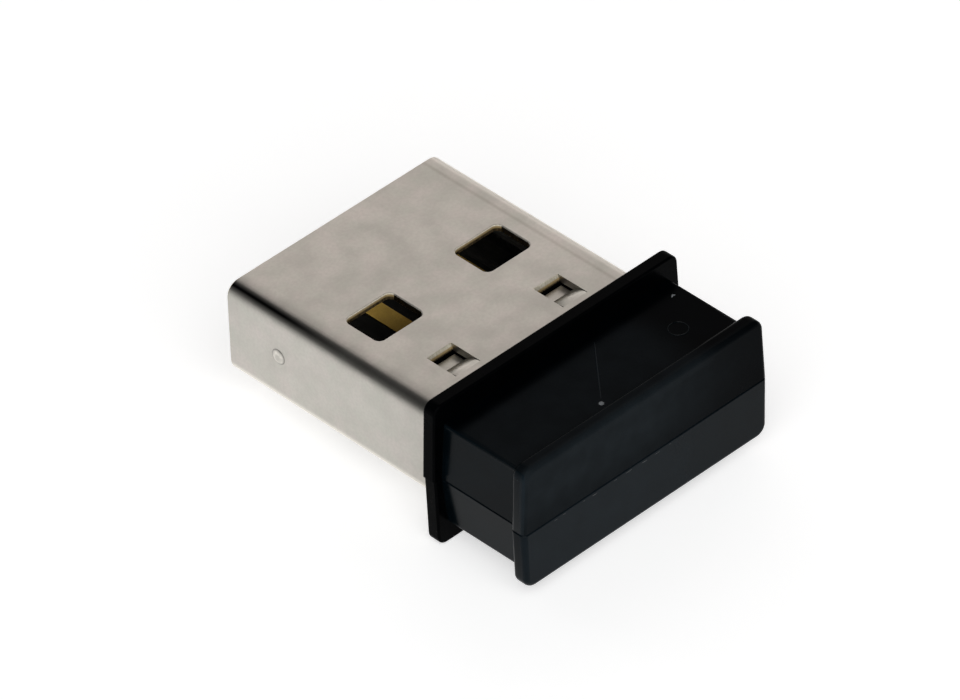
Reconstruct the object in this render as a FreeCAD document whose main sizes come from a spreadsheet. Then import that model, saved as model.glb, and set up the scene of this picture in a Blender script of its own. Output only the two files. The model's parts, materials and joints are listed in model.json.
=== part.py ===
import FreeCAD, Part
import os
import re
import Sketcher

# USB wifi adapter: a USB-A plug with a short black plastic grip behind it.
#
# Frame: the origin is on the plug's axis, in the face of the grip that seats against the socket.
# +Y points out of the plug's mouth, X runs across the plug, and +Z is the side of the plug's open gap.
# Distances "ahead" are along +Y from the seating face, and distances "behind" are along -Y from it.

SIZES = [
    # Steel shell of the USB-A plug
    ("plug_width", "12.0", "outside of the shell, across"),
    ("plug_height", "4.5", "outside of the shell, top to bottom"),
    ("plug_wall", "0.3", "sheet thickness"),
    ("plug_bend", "0.65", "outer radius of the shell's four bends"),
    ("plug_reach", "12.25", "mouth ahead of the seating face"),
    ("plug_seat", "0.35", "rear edge of the shell behind the seating face"),
    ("mouth_bevel", "0.08", "bevel round the outside of the mouth"),
    ("seam_gap", "0.05", "slit where the sheet's two edges meet, along the underside"),
    ("window_centre", "3.03", "middle of each window from the plug's axis, across"),
    ("window_width", "2.54", "window, across"),
    ("window_length", "2.05", "window, along the plug"),
    ("window_setback", "5.1", "front edge of the windows behind the mouth"),
    ("window_corner", "0.3", "corner radius of the windows"),
    ("tab_centre", "3.0", "middle of each lanced tab from the plug's axis, across"),
    ("tab_width", "1.3", "lanced tab, across"),
    ("tab_side_gap", "0.03", "slit on each side of a tab"),
    ("tab_root", "1.37", "bent root of the tabs ahead of the seating face"),
    ("tab_ramp", "0.93", "sloping part of a tab, from its root to its flat tip"),
    ("tab_flat", "0.53", "flat tip of a tab, along the plug"),
    ("tab_front_gap", "0.21", "slit in front of a tab"),
    ("tab_drop", "0.45", "how far a tab's flat tip is pushed in"),
    ("dimple_diameter", "0.75", "round bump on each side of the shell"),
    ("dimple_height", "0.1", "bump above the side wall"),
    ("dimple_round", "0.07", "rounded rim of the bump"),
    ("dimple_setback", "2.98", "middle of the bump behind the mouth"),
    ("dimple_rise", "0.2", "middle of the bump above the plug's axis"),
    ("leg_length", "2.6", "solder leg behind the shell's rear edge"),
    ("leg_above", "0.55", "top of the leg above the axis"),
    ("leg_below", "0.75", "bottom of the leg below the axis"),
    # Circuit board and its gold contacts
    ("board_thickness", "0.8", "the board's top face lies on the plug's axis"),
    ("tongue_width", "10.4", "board inside the plug, across"),
    ("tongue_tip", "11.35", "front end of the board ahead of the seating face"),
    ("board_rear_width", "11.24", "board inside the grip, across"),
    ("board_rear_front", "0.45", "front of the board's wide part behind the seating face"),
    ("board_rear_end", "4.75", "rear end of the board behind the seating face"),
    ("contact_width", "0.9", "gold contact, across"),
    ("contact_thickness", "0.04", "gold contact above the board"),
    ("contact_inner", "1.05", "middle of the two data contacts from the axis, across"),
    ("contact_outer", "3.25", "middle of the two power contacts from the axis, across"),
    ("contact_root", "4.7", "rear end of the contacts ahead of the seating face"),
    ("power_contact_length", "6.35", "the two outer contacts meet first, so they are longer"),
    ("data_contact_length", "5.35", "the two inner contacts"),
    # Plastic carrier that holds the board in the shell
    ("carrier_gap", "0.03", "clearance between carrier and shell"),
    ("carrier_corner", "0.4", "corner radius of the carrier"),
    ("carrier_tip", "11.9", "front end of the carrier ahead of the seating face"),
    ("carrier_heel", "0.3", "rear end of the carrier behind the seating face"),
    ("board_gap", "0.02", "clearance round the board in its slot"),
    ("block_front", "4.6", "front of the full-height block ahead of the seating face"),
    ("block_back", "0.9", "back of the full-height block ahead of the seating face"),
    ("lip_back", "11.4", "back of the carrier's front lip ahead of the seating face"),
    ("lip_below", "0.15", "top of the front lip below the axis"),
    ("lip_bevel", "0.35", "lead-in bevel of the front lip"),
    ("pocket_width", "9.2", "pocket for the parts under the board, across"),
    ("pocket_front", "10.6", "front of that pocket ahead of the seating face"),
    ("pocket_back", "3.6", "back of that pocket ahead of the seating face"),
    ("pocket_floor", "0.17", "plastic left under the pocket"),
    ("notch_width", "1.9", "notch that takes a lanced tab, across"),
    ("notch_back", "1.2", "back of the notches ahead of the seating face"),
    ("notch_front", "2.92", "front of the notches, just ahead of the tabs' tips"),
    ("notch_depth", "0.55", "notch below the carrier's outside"),
    # Parts on the board
    ("chip_side", "5.0", "wifi chip, both ways"),
    ("chip_height", "0.85", "wifi chip below the board"),
    ("chip_place", "7.3", "middle of the wifi chip ahead of the seating face"),
    ("chip_bevel", "0.1", "bevel round the chip's face"),
    ("chip_mark_diameter", "0.5", "round mark by the chip's first pin"),
    ("chip_mark_inset", "0.7", "middle of that mark from the chip's edges"),
    ("chip_mark_depth", "0.03", "depth of that mark"),
    ("crystal_length", "2.5", "crystal, across"),
    ("crystal_width", "2.0", "crystal, along the plug"),
    ("crystal_base", "0.35", "ceramic base of the crystal above the board"),
    ("crystal_lid", "0.2", "metal lid above the base"),
    ("crystal_lid_inset", "0.15", "lid in from the base's edges"),
    ("crystal_across", "2.5", "middle of the crystal from the axis, towards -X"),
    ("crystal_behind", "1.6", "middle of the crystal behind the seating face"),
    ("small_length", "1.0", "small capacitor or resistor"),
    ("small_width", "0.5", "small capacitor or resistor"),
    ("small_height", "0.5", "small capacitor"),
    ("resistor_height", "0.35", "small resistor"),
    ("capacitor_across", "3.7", "the two rows of small capacitors beside the chip"),
    ("capacitor_pitch", "1.7", "along each row"),
    ("resistor_place", "4.15", "row of resistors ahead of the seating face"),
    ("resistor_pitch", "1.6", "along that row, across the plug"),
    ("bulk_length", "1.6", "bulk capacitor"),
    ("bulk_width", "0.8", "bulk capacitor"),
    ("bulk_height", "0.8", "bulk capacitor"),
    ("bulk_across", "3.4", "middle of the bulk capacitor from the axis, towards +X"),
    ("inductor_length", "2.0", "power inductor, across"),
    ("inductor_width", "1.6", "power inductor, along the plug"),
    ("inductor_height", "1.0", "power inductor above the board"),
    ("inductor_round", "0.15", "rounded upright corners of the inductor"),
    ("inductor_across", "0.7", "middle of the inductor from the axis, towards +X"),
    ("supply_behind", "1.5", "inductor and bulk capacitor behind the seating face"),
    ("esd_length", "2.0", "protection diode array, across"),
    ("esd_width", "1.25", "protection diode array, along the plug"),
    ("esd_height", "0.9", "protection diode array above the board"),
    ("esd_across", "2.2", "middle of the diode array from the axis, towards -X"),
    ("esd_ahead", "0.15", "middle of the diode array ahead of the seating face"),
    ("balun_length", "1.6", "filter between chip and antenna, across"),
    ("balun_width", "0.8", "that filter, along the plug"),
    ("balun_height", "0.6", "that filter above the board"),
    ("balun_across", "3.6", "middle of that filter from the axis, towards +X"),
    ("matching_across", "2.1", "the two matching parts from the axis, towards +X"),
    ("antenna_length", "5.0", "chip antenna, across"),
    ("antenna_width", "1.5", "chip antenna, along the plug"),
    ("antenna_height", "0.8", "chip antenna above the board"),
    ("antenna_across", "1.8", "middle of the antenna from the axis, towards -X"),
    ("radio_behind", "3.8", "antenna, matching parts and filter behind the seating face"),
    ("matching_pitch", "0.9", "between the two matching parts, along the plug"),
    ("terminal_skin", "0.02", "metal ends of a part, proud of its body"),
    ("solder_reach", "0.45", "solder fillet on the board, in from the leg"),
    ("solder_rise", "0.45", "solder fillet up the leg"),
    ("solder_length", "1.7", "solder fillet along the leg"),
    ("solder_front", "1.0", "front of the solder behind the seating face"),
    # Black plastic grip: flange against the socket, waist for the fingers, end plate
    ("parting_level", "-0.15", "where the two covers meet, from the plug's axis"),
    ("flange_upper_width", "14.0", "upper cover at the parting line"),
    ("flange_lower_width", "13.8", "lower cover at the parting line"),
    ("flange_upper_draft", "0.2", "how much each side leans in towards the top"),
    ("flange_lower_draft", "0.08", "how much each side leans in towards the bottom"),
    ("flange_height", "7.05", "top to bottom"),
    ("flange_thickness", "0.65", "along the plug"),
    ("waist_upper_width", "13.1", "upper cover at the parting line"),
    ("waist_lower_width", "13.1", "lower cover at the parting line"),
    ("waist_upper_draft", "0.25", "how much each side leans in towards the top"),
    ("waist_lower_draft", "0.25", "how much each side leans in towards the bottom"),
    ("waist_height", "5.1", "top to bottom"),
    ("waist_length", "4.15", "along the plug"),
    ("plate_upper_width", "13.7", "upper cover at the parting line"),
    ("plate_lower_width", "13.7", "lower cover at the parting line"),
    ("plate_upper_draft", "0.17", "how much each side leans in towards the top"),
    ("plate_lower_draft", "0.06", "how much each side leans in towards the bottom"),
    ("plate_height", "5.96", "top to bottom"),
    ("plate_thickness", "0.78", "along the plug"),
    ("flange_corner", "0.45", "corner radius of the flange"),
    ("plate_corner", "0.55", "corner radius of the end plate"),
    ("waist_corner", "0.2", "corner radius of the waist"),
    ("flange_round", "0.1", "rounded rims of the flange"),
    ("plate_round", "0.22", "rounded rims of the end plate"),
    ("parting_bevel", "0.05", "bevel of both covers along the parting line"),
    ("seat_gap", "0.04", "clearance round the shell in the flange"),
    ("seat_floor", "0.4", "floor of the shell's seat behind the seating face"),
    ("cavity_width", "10.2", "inside of the grip, across"),
    ("cavity_height", "3.9", "inside of the grip, top to bottom"),
    ("cavity_depth", "4.8", "end of the inside behind the seating face"),
    ("bay_width", "11.36", "rebate round the board and bay beside the solder, across"),
    ("bay_depth", "3.2", "end of the bay above the solder behind the seating face"),
    ("leg_gap", "0.05", "clearance round the solder legs"),
    ("peg_diameter", "0.4", "locating pegs of the lower cover"),
    ("peg_height", "0.6", "pegs above the parting line"),
    ("peg_gap", "0.03", "clearance round the pegs in their sockets"),
    ("peg_across", "6.08", "pegs from the axis, across"),
    ("peg_behind", "3.95", "pegs behind the seating face"),
]

TOLERANCE = 1e-4
UPPER = 1
LOWER = -1
SIDES = (1, -1)

doc = FreeCAD.newDocument("usb_wifi_adapter")
sheet = doc.addObject("Spreadsheet::Sheet", "Sizes")
for row, (alias, millimetres, meaning) in enumerate(SIZES, start=1):
    sheet.set(f"A{row}", alias)
    sheet.set(f"B{row}", millimetres)
    sheet.set(f"C{row}", meaning)
    sheet.setAlias(f"B{row}", alias)
doc.recompute()


# ---------------------------------------------------------------- helpers


def bound(expression):
    """Turn an expression in plain aliases into one that another object can use."""
    return re.sub(r"[a-z]\w*", r"Sizes.\g<0>", expression)


def value(expression):
    """Present value of an expression in plain aliases, as a number."""
    return float(sheet.evalExpression(expression))


def new_body(label):
    body = doc.addObject("PartDesign::Body", label)
    body.Label = label
    body.AllowCompound = True
    return body


def new_sketch(body, name, plane, offset):
    """Sketch on one of the body's own origin planes, moved along that plane's normal."""
    sketch = body.newObject("Sketcher::SketchObject", name)
    support = next(item for item in body.Origin.OriginFeatures if item.Role == plane)
    sketch.AttachmentSupport = [(support, "")]
    sketch.MapMode = "FlatFace"
    sketch.setExpression("AttachmentOffset.Base.z", bound(offset))
    return sketch


def sketch_across(body, name, ahead):
    """Upright sketch across the plug: its X is X, its Y is Z, and its normal points to -Y."""
    return new_sketch(body, name, "XZ_Plane", f"-({ahead})")


def sketch_flat(body, name, height):
    """Level sketch: its X is X, its Y is Y, and its normal points to +Z."""
    return new_sketch(body, name, "XY_Plane", height)


def sketch_along(body, name, across):
    """Upright sketch along the plug: its X is Y, its Y is Z, and its normal points to +X."""
    return new_sketch(body, name, "YZ_Plane", across)


def bind_point(sketch, geometry, position, across, up):
    """Fix a point of a sketch at two expressions, measured from the sketch's origin."""
    for kind, expression in (("DistanceX", across), ("DistanceY", up)):
        constraint = Sketcher.Constraint(kind, -1, 1, geometry, position, value(expression))
        index = sketch.addConstraint(constraint)
        sketch.setExpression(f"Constraints[{index}]", bound(expression))


def draw_outline(sketch, corners):
    """Closed outline of straight lines through corners, each a pair of expressions."""
    points = [FreeCAD.Vector(value(across), value(up), 0) for across, up in corners]
    first = sketch.GeometryCount
    for start, end in zip(points, points[1:] + points[:1]):
        sketch.addGeometry(Part.LineSegment(start, end), False)
    for index, (across, up) in enumerate(corners):
        following = first + (index + 1) % len(corners)
        sketch.addConstraint(Sketcher.Constraint("Coincident", first + index, 2, following, 1))
        bind_point(sketch, first + index, 1, across, up)


def draw_box(sketch, left, right, bottom, top):
    """Plain rectangle between four expressions."""
    draw_outline(sketch, [(left, bottom), (right, bottom), (right, top), (left, top)])


def draw_circle(sketch, across, up, diameter):
    centre = FreeCAD.Vector(value(across), value(up), 0)
    circle = Part.Circle(centre, FreeCAD.Vector(0, 0, 1), value(diameter) / 2)
    geometry = sketch.addGeometry(circle, False)
    bind_point(sketch, geometry, 3, across, up)
    index = sketch.addConstraint(Sketcher.Constraint("Diameter", geometry, value(diameter)))
    sketch.setExpression(f"Constraints[{index}]", bound(diameter))


def draw_rounded_box(sketch, left, right, bottom, top, radius):
    """Rectangle between four expressions with four equal round corners."""
    size = value(radius)
    quarters = [(left, bottom, 1, 1), (right, bottom, -1, 1), (right, top, -1, -1), (left, top, 1, -1)]
    centres = []
    for side, level, inward_x, inward_y in quarters:
        centres.append((f"{side} + {inward_x} * {radius}", f"{level} + {inward_y} * {radius}"))
    first = sketch.GeometryCount
    quarter_turn = 1.5707963267948966
    for quarter, (across, up) in enumerate(centres):
        circle = Part.Circle(FreeCAD.Vector(value(across), value(up), 0), FreeCAD.Vector(0, 0, 1), size)
        turn = (quarter + 2) * quarter_turn
        sketch.addGeometry(Part.ArcOfCircle(circle, turn, turn + quarter_turn), False)
        bind_point(sketch, first + quarter, 3, across, up)
        index = sketch.addConstraint(Sketcher.Constraint("Radius", first + quarter, size))
        sketch.setExpression(f"Constraints[{index}]", bound(radius))
    for quarter in range(4):
        arc = first + quarter
        next_arc = first + (quarter + 1) % 4
        start = sketch.getPoint(arc, 2)
        end = sketch.getPoint(next_arc, 1)
        line = sketch.addGeometry(Part.LineSegment(start, end), False)
        sketch.addConstraint(Sketcher.Constraint("Tangent", arc, 2, line, 1))
        sketch.addConstraint(Sketcher.Constraint("Tangent", line, 2, next_arc, 1))


def pad(body, sketch, length, along_normal=True, symmetric=False):
    """Grow material from a sketch."""
    feature = body.newObject("PartDesign::Pad", f"{sketch.Name}Pad")
    feature.Profile = sketch
    feature.setExpression("Length", bound(length))
    feature.Reversed = not along_normal
    feature.SideType = "Symmetric" if symmetric else "One side"
    doc.recompute()
    return feature


def pocket(body, sketch, depth, along_normal=True, symmetric=False):
    """Cut material from a sketch, and stop if the cut misses the body.

    A pocket cuts against its sketch's normal unless it is reversed.
    """
    before = body.Shape.Volume
    feature = body.newObject("PartDesign::Pocket", f"{sketch.Name}Pocket")
    feature.Profile = sketch
    feature.setExpression("Length", bound(depth))
    feature.Reversed = along_normal
    feature.SideType = "Symmetric" if symmetric else "One side"
    doc.recompute()
    if body.Shape.Volume > before - TOLERANCE:
        raise ValueError(f"{feature.Name} cuts nothing from {body.Label}")
    return feature


def dress(body, kind, amount, accept):
    """Fillet or chamfer the edges of the body's tip that the test accepts."""
    base = body.Tip
    edges = [f"Edge{number}" for number, edge in enumerate(base.Shape.Edges, start=1) if accept(edge)]
    feature = body.newObject(f"PartDesign::{kind}", f"{base.Name}{kind}")
    feature.Base = (base, edges)
    feature.setExpression("Radius" if kind == "Fillet" else "Size", bound(amount))
    doc.recompute()
    return feature


def lies_in(edge, axis, level):
    """True if the whole edge lies in the plane where the axis letter has that value."""
    low = getattr(edge.BoundBox, f"{axis}Min")
    high = getattr(edge.BoundBox, f"{axis}Max")
    return abs(low - level) < TOLERANCE and abs(high - level) < TOLERANCE


def runs_along(edge, axis):
    """True for a straight edge that is parallel to the axis with that letter."""
    spans = {letter: getattr(edge.BoundBox, f"{letter}Length") for letter in "XYZ"}
    longest = spans.pop(axis)
    return longest > TOLERANCE and max(spans.values()) < TOLERANCE


def box(name, size, centre, bottom):
    """Part::Box from three size expressions, with its middle at centre and its foot at bottom."""
    piece = doc.addObject("Part::Box", name)
    for dimension, expression in zip(("Length", "Width", "Height"), size):
        piece.setExpression(dimension, bound(expression))
    piece.setExpression("Placement.Base.x", bound(f"{centre[0]} - ({size[0]}) / 2"))
    piece.setExpression("Placement.Base.y", bound(f"{centre[1]} - ({size[1]}) / 2"))
    piece.setExpression("Placement.Base.z", bound(bottom))
    return piece


def fuse(name, pieces):
    joined = doc.addObject("Part::MultiFuse", name)
    joined.Shapes = pieces
    return joined


def group(label, pieces):
    """Identical parts that share one node, as separate solids."""
    together = doc.addObject("Part::Compound", label)
    together.Links = pieces
    return together


def two_terminal_part(name, size, centre, bottom):
    """Ceramic body with a metal cap on each end; the ends are a quarter of its length."""
    length, width, height = size
    middle = (length, f"{width} - 2 * terminal_skin", f"{height} - terminal_skin")
    pieces = [box(f"{name}Body", middle, centre, f"{bottom} + terminal_skin / 2")]
    for side in SIDES:
        end_centre = (f"{centre[0]} + {side} * {length} * 3 / 8", centre[1])
        pieces.append(box(f"{name}End{side + 1}", (f"{length} / 4", width, height), end_centre, bottom))
    return fuse(name, pieces)


# ---------------------------------------------------------------- plug


def build_plug_shell():
    """Folded steel tube with windows, lanced tabs, side bumps and two solder legs."""
    body = new_body("plug_shell")
    section = sketch_across(body, "ShellSection", "plug_reach")
    half_width = "plug_width / 2"
    half_height = "plug_height / 2"
    draw_rounded_box(section, f"-{half_width}", half_width, f"-{half_height}", half_height, "plug_bend")
    bore_width = f"({half_width} - plug_wall)"
    bore_height = f"({half_height} - plug_wall)"
    bore_radius = "(plug_bend - plug_wall)"
    draw_rounded_box(section, f"-{bore_width}", bore_width, f"-{bore_height}", bore_height, bore_radius)
    pad(body, section, "plug_reach + plug_seat")

    mouth = value("plug_reach")
    wall = value("plug_wall")

    def on_mouth_rim(edge):
        box_of_edge = edge.BoundBox
        outside = max(abs(box_of_edge.XMax), abs(box_of_edge.XMin)) > value("plug_width") / 2 - wall / 2
        outside = outside or abs(edge.CenterOfMass.z) > value("plug_height") / 2 - wall / 2
        return lies_in(edge, "Y", mouth) and outside

    dress(body, "Chamfer", "mouth_bevel", on_mouth_rim)

    windows = sketch_flat(body, "Windows", "0")
    for side in SIDES:
        centre = f"{side} * window_centre"
        draw_rounded_box(
            windows,
            f"{centre} - window_width / 2",
            f"{centre} + window_width / 2",
            "plug_reach - window_setback - window_length",
            "plug_reach - window_setback",
            "window_corner",
        )
    pocket(body, windows, "2 * plug_height", symmetric=True)

    openings = sketch_flat(body, "TabOpenings", "0")
    for side in SIDES:
        centre = f"{side} * tab_centre"
        draw_box(
            openings,
            f"{centre} - tab_width / 2 - tab_side_gap",
            f"{centre} + tab_width / 2 + tab_side_gap",
            "tab_root",
            "tab_root + tab_ramp + tab_flat + tab_front_gap",
        )
    pocket(body, openings, "2 * plug_height", symmetric=True)

    for side in SIDES:
        for face in SIDES:
            tab = sketch_along(body, f"Tab{side + 1}{face + 1}", f"{side} * tab_centre")
            outer = f"{face} * plug_height / 2"
            inner = f"{face} * (plug_height / 2 - plug_wall)"
            knee = "tab_root + tab_ramp"
            tip = "tab_root + tab_ramp + tab_flat"
            corners = [
                ("tab_root - plug_wall", outer),
                ("tab_root", outer),
                (knee, f"{outer} - {face} * tab_drop"),
                (tip, f"{outer} - {face} * tab_drop"),
                (tip, f"{inner} - {face} * tab_drop"),
                (knee, f"{inner} - {face} * tab_drop"),
                ("tab_root", inner),
                ("tab_root - plug_wall", inner),
            ]
            draw_outline(tab, corners)
            pad(body, tab, "tab_width", symmetric=True)

    for side in SIDES:
        bump = sketch_along(body, f"SideBump{side + 1}", f"{side} * (plug_width / 2 - plug_wall / 2)")
        draw_circle(bump, "plug_reach - dimple_setback", "dimple_rise", "dimple_diameter")
        pad(body, bump, "dimple_height + plug_wall / 2", along_normal=side > 0)
        face_of_bump = side * value("plug_width / 2 + dimple_height")
        dress(body, "Fillet", "dimple_round", lambda edge: lies_in(edge, "X", face_of_bump))

    for side in SIDES:
        leg = sketch_across(body, f"SolderLeg{side + 1}", "-plug_seat")
        outer = f"{side} * plug_width / 2"
        inner = f"{side} * (plug_width / 2 - plug_wall)"
        draw_box(leg, inner, outer, "-leg_below", "leg_above")
        pad(body, leg, "leg_length")

    seam = sketch_across(body, "Seam", "plug_reach")
    draw_box(seam, "-seam_gap / 2", "seam_gap / 2", "-plug_height", "-plug_height / 4")
    pocket(body, seam, "plug_reach + plug_seat")
    return body


def build_contact_carrier():
    """Moulded carrier: a tray under the board, and a full-height block that the tabs grip."""
    body = new_body("contact_carrier")
    half_width = "(plug_width / 2 - plug_wall - carrier_gap)"
    half_height = "(plug_height / 2 - plug_wall - carrier_gap)"

    tray = sketch_across(body, "Tray", "carrier_tip")
    draw_rounded_box(tray, f"-{half_width}", half_width, f"-{half_height}", half_height, "carrier_corner")
    pad(body, tray, "carrier_tip + carrier_heel")

    ahead = sketch_across(body, "GapAheadOfBlock", "carrier_tip")
    draw_box(ahead, f"-{half_width}", half_width, "0", half_height)
    pocket(body, ahead, "carrier_tip - block_front")
    behind = sketch_across(body, "GapBehindBlock", "block_back")
    draw_box(behind, f"-{half_width}", half_width, "0", half_height)
    pocket(body, behind, "block_back + carrier_heel")

    slot = sketch_across(body, "BoardSlot", "lip_back")
    slot_half = "(tongue_width / 2 + board_gap)"
    draw_box(slot, f"-{slot_half}", slot_half, "-board_thickness - board_gap", "board_gap")
    pocket(body, slot, "lip_back + carrier_heel")

    lip = sketch_across(body, "LipTop", "carrier_tip")
    draw_box(lip, f"-{half_width}", half_width, "-lip_below", "plug_wall")
    pocket(body, lip, "carrier_tip - lip_back")

    lip_top = value("-lip_below")
    tip = value("carrier_tip")

    def on_lip_front(edge):
        return lies_in(edge, "Z", lip_top) and lies_in(edge, "Y", tip)

    dress(body, "Chamfer", "lip_bevel", on_lip_front)

    chip_pocket = sketch_flat(body, "ChipPocket", "-board_thickness")
    draw_box(chip_pocket, "-pocket_width / 2", "pocket_width / 2", "pocket_back", "pocket_front")
    pocket(body, chip_pocket, f"{half_height} - pocket_floor - board_thickness", along_normal=False)

    for face in SIDES:
        notches = sketch_flat(body, f"TabNotches{face + 1}", f"{face} * {half_height}")
        for side in SIDES:
            centre = f"{side} * tab_centre"
            left = f"{centre} - notch_width / 2"
            right = f"{centre} + notch_width / 2"
            draw_box(notches, left, right, "notch_back", "notch_front")
        pocket(body, notches, "notch_depth", along_normal=face < 0)
    return body


def build_circuit_board():
    """Board whose narrow front end is the plug's tongue."""
    body = new_body("circuit_board")
    outline = sketch_flat(body, "BoardOutline", "0")
    corners = []
    for side in SIDES:
        half = [
            (f"{side} * tongue_width / 2", "tongue_tip"),
            (f"{side} * tongue_width / 2", "-board_rear_front"),
            (f"{side} * board_rear_width / 2", "-board_rear_front"),
            (f"{side} * board_rear_width / 2", "-board_rear_end"),
        ]
        corners += half if side > 0 else reversed(half)
    draw_outline(outline, corners)
    pad(body, outline, "board_thickness", along_normal=False)
    return body


def build_contacts():
    """Four gold contacts on the board's top face, each its own piece."""
    rows = [
        ("contact_vbus", "contact_outer", "power_contact_length"),
        ("contact_data_minus", "contact_inner", "data_contact_length"),
        ("contact_data_plus", "-contact_inner", "data_contact_length"),
        ("contact_ground", "-contact_outer", "power_contact_length"),
    ]
    contacts = []
    for label, across, length in rows:
        size = ("contact_width", length, "contact_thickness")
        contacts.append(box(label, size, (across, f"contact_root + {length} / 2"), "0"))
    return contacts


# ---------------------------------------------------------------- parts on the board


def build_wifi_chip():
    """Square chip under the board, with a bevelled face and a first-pin mark."""
    body = new_body("wifi_chip")
    outline = sketch_flat(body, "ChipOutline", "-board_thickness")
    back = "chip_place - chip_side / 2"
    front = "chip_place + chip_side / 2"
    draw_box(outline, "-chip_side / 2", "chip_side / 2", back, front)
    pad(body, outline, "chip_height", along_normal=False)
    underside = value("-board_thickness - chip_height")
    dress(body, "Chamfer", "chip_bevel", lambda edge: lies_in(edge, "Z", underside))
    mark = sketch_flat(body, "FirstPinMark", "-board_thickness - chip_height")
    corner = ("-chip_side / 2 + chip_mark_inset", f"{front} - chip_mark_inset")
    draw_circle(mark, corner[0], corner[1], "chip_mark_diameter")
    pocket(body, mark, "chip_mark_depth", along_normal=True)
    return body


def build_crystal():
    """Ceramic base with a smaller metal lid."""
    centre = ("-crystal_across", "-crystal_behind")
    base = box("CrystalBase", ("crystal_length", "crystal_width", "crystal_base"), centre, "0")
    lid_size = (
        "crystal_length - 2 * crystal_lid_inset",
        "crystal_width - 2 * crystal_lid_inset",
        "crystal_lid",
    )
    lid = box("CrystalLid", lid_size, centre, "crystal_base")
    return fuse("crystal", [base, lid])


def build_small_capacitors():
    """Three capacitors in a row on each side of the chip, under the board."""
    size = ("small_length", "small_width", "small_height")
    pieces = []
    for side in SIDES:
        for step in (-1, 0, 1):
            centre = (f"{side} * capacitor_across", f"chip_place + {step} * capacitor_pitch")
            name = f"Capacitor{side + 1}{step + 1}"
            pieces.append(two_terminal_part(name, size, centre, "-board_thickness - small_height"))
    return group("small_capacitors", pieces)


def build_resistors():
    """Three resistors in a row behind the chip, under the board."""
    size = ("small_length", "small_width", "resistor_height")
    pieces = []
    for step in (-1, 0, 1):
        centre = (f"{step} * resistor_pitch", "resistor_place")
        name = f"Resistor{step + 1}"
        pieces.append(two_terminal_part(name, size, centre, "-board_thickness - resistor_height"))
    return group("resistors", pieces)


def build_power_inductor():
    """Moulded inductor with rounded upright corners."""
    size = ("inductor_length", "inductor_width", "inductor_height")
    block = box("InductorBlock", size, ("inductor_across", "-supply_behind"), "0")
    doc.recompute()
    rounded = doc.addObject("Part::Fillet", "power_inductor")
    rounded.Base = block
    radius = value("inductor_round")
    edges = []
    for number, edge in enumerate(block.Shape.Edges, start=1):
        if runs_along(edge, "Z"):
            edges.append((number, radius, radius))
    rounded.Edges = edges
    return rounded


def build_esd_protector():
    """Small six-legged package: a moulded block on a row of three legs each side."""
    centre = ("-esd_across", "esd_ahead")
    block_size = ("esd_length", "esd_width * 3 / 5", "esd_height * 4 / 5")
    pieces = [box("EsdBlock", block_size, centre, "esd_height / 5")]
    leg_size = ("esd_length / 10", "esd_width", "esd_height / 5")
    for step in (-1, 0, 1):
        leg_centre = (f"{centre[0]} + {step} * esd_length / 3", centre[1])
        pieces.append(box(f"EsdLeg{step + 1}", leg_size, leg_centre, "0"))
    return fuse("esd_protector", pieces)


def build_radio_parts():
    """Chip antenna at the board's rear end, with its matching parts and filter."""
    antenna_size = ("antenna_length", "antenna_width", "antenna_height")
    antenna_centre = ("-antenna_across", "-radio_behind")
    antenna = two_terminal_part("chip_antenna", antenna_size, antenna_centre, "0")
    size = ("small_length", "small_width", "small_height")
    matching = []
    for side in SIDES:
        centre = ("matching_across", f"-radio_behind + {side} * matching_pitch / 2")
        matching.append(two_terminal_part(f"Matching{side + 1}", size, centre, "0"))
    balun_size = ("balun_length", "balun_width", "balun_height")
    balun = two_terminal_part("balun_filter", balun_size, ("balun_across", "-radio_behind"), "0")
    return [antenna, group("antenna_matching_parts", matching), balun]


def build_bulk_capacitor():
    size = ("bulk_length", "bulk_width", "bulk_height")
    return two_terminal_part("bulk_capacitor", size, ("bulk_across", "-supply_behind"), "0")


def build_solder_joints():
    """Solder fillet between each leg of the shell and the board."""
    body = new_body("shell_solder_joints")
    for side in SIDES:
        fillet = sketch_across(body, f"SolderFillet{side + 1}", "-solder_front")
        leg = f"{side} * (plug_width / 2 - plug_wall)"
        toe = f"{leg} - {side} * solder_reach"
        draw_outline(fillet, [(toe, "0"), (leg, "0"), (leg, "solder_rise")])
        pad(body, fillet, "solder_length")
    return body


# ---------------------------------------------------------------- grip


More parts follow.
